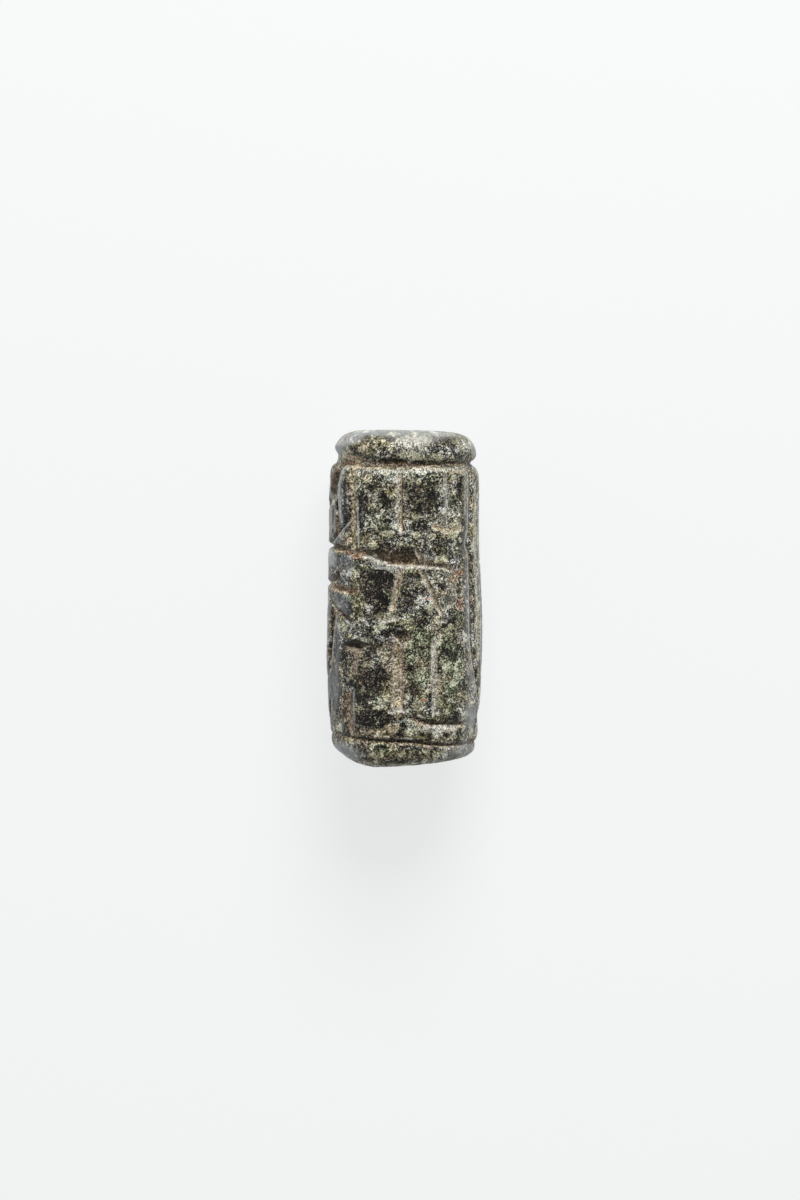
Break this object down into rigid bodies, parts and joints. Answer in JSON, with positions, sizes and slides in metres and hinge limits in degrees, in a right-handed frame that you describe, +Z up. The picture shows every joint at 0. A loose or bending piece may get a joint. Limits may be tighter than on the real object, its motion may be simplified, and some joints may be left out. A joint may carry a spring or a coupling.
{
  "type": "cylinder seal",
  "caption": "Small carved dark stone cylinder seal with a rolled rim at its top end, a thin border groove at the other and a lengthwise bore, lying on a narrow flat.",
  "frame": {"origin": "on the underside, in the middle of the narrow flat that the seal rests on", "axes": "+Y along the seal towards its top end with the deep groove, +Z up out of the carved face that the picture shows, +X to the right of that face"},
  "size_m": [0.014, 0.0304, 0.0137],
  "materials": {
    "dark_green_stone": "worn smooth with a soft sheen, speckled black and olive green, pale dirt in the cuts"
  },
  "bodies": {
    "root": {"seal": "dark_green_stone"}
  },
  "joints": []
}
